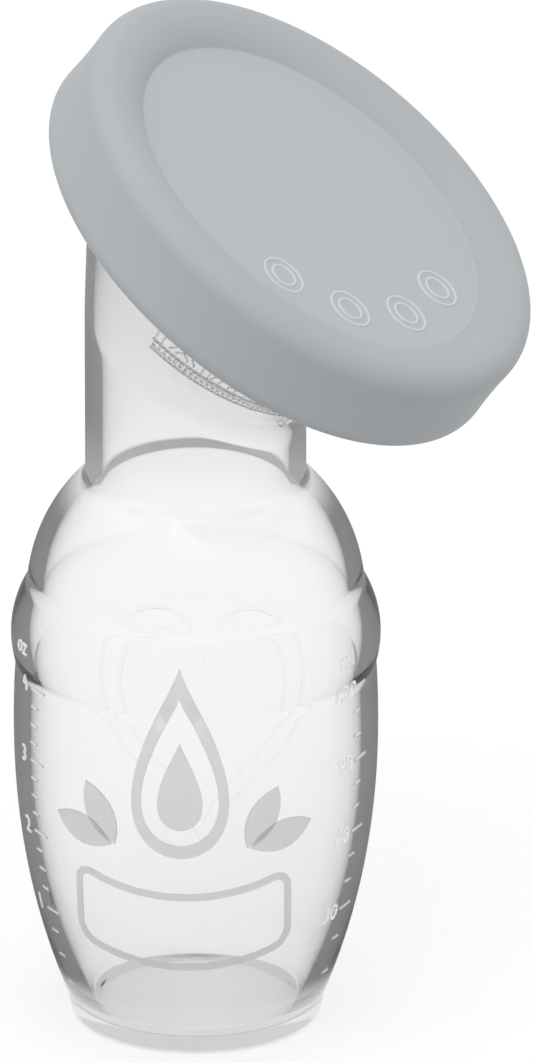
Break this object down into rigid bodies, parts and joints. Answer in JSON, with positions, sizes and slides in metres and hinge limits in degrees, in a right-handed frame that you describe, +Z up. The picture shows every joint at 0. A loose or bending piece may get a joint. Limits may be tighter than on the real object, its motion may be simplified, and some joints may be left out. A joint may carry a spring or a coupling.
{
  "type": "breast pump",
  "caption": "Squeeze-bulb silicone breast pump standing on its foot, with a leaning funnel flange and a lid that pulls off.",
  "frame": {"origin": "centre of the foot's underside, on the bulb's axis", "axes": "+Z up the bulb's axis, +X the way the flange leans, +Y completes the right-handed frame"},
  "size_m": [0.086, 0.087, 0.1737],
  "materials": {
    "clear_silicone": "clear glossy moulded silicone with frosted raised marks",
    "grey_silicone": "matte moulded silicone"
  },
  "bodies": {
    "pump": {"pump_body": "clear_silicone"},
    "cover": {"lid": "grey_silicone"}
  },
  "joints": [
    {"name": "lid_pull", "type": "slide", "parent": "pump", "child": "cover", "axis": [0.6018, 0, 0.7986], "range_m": [0, 0.06]}
  ]
}
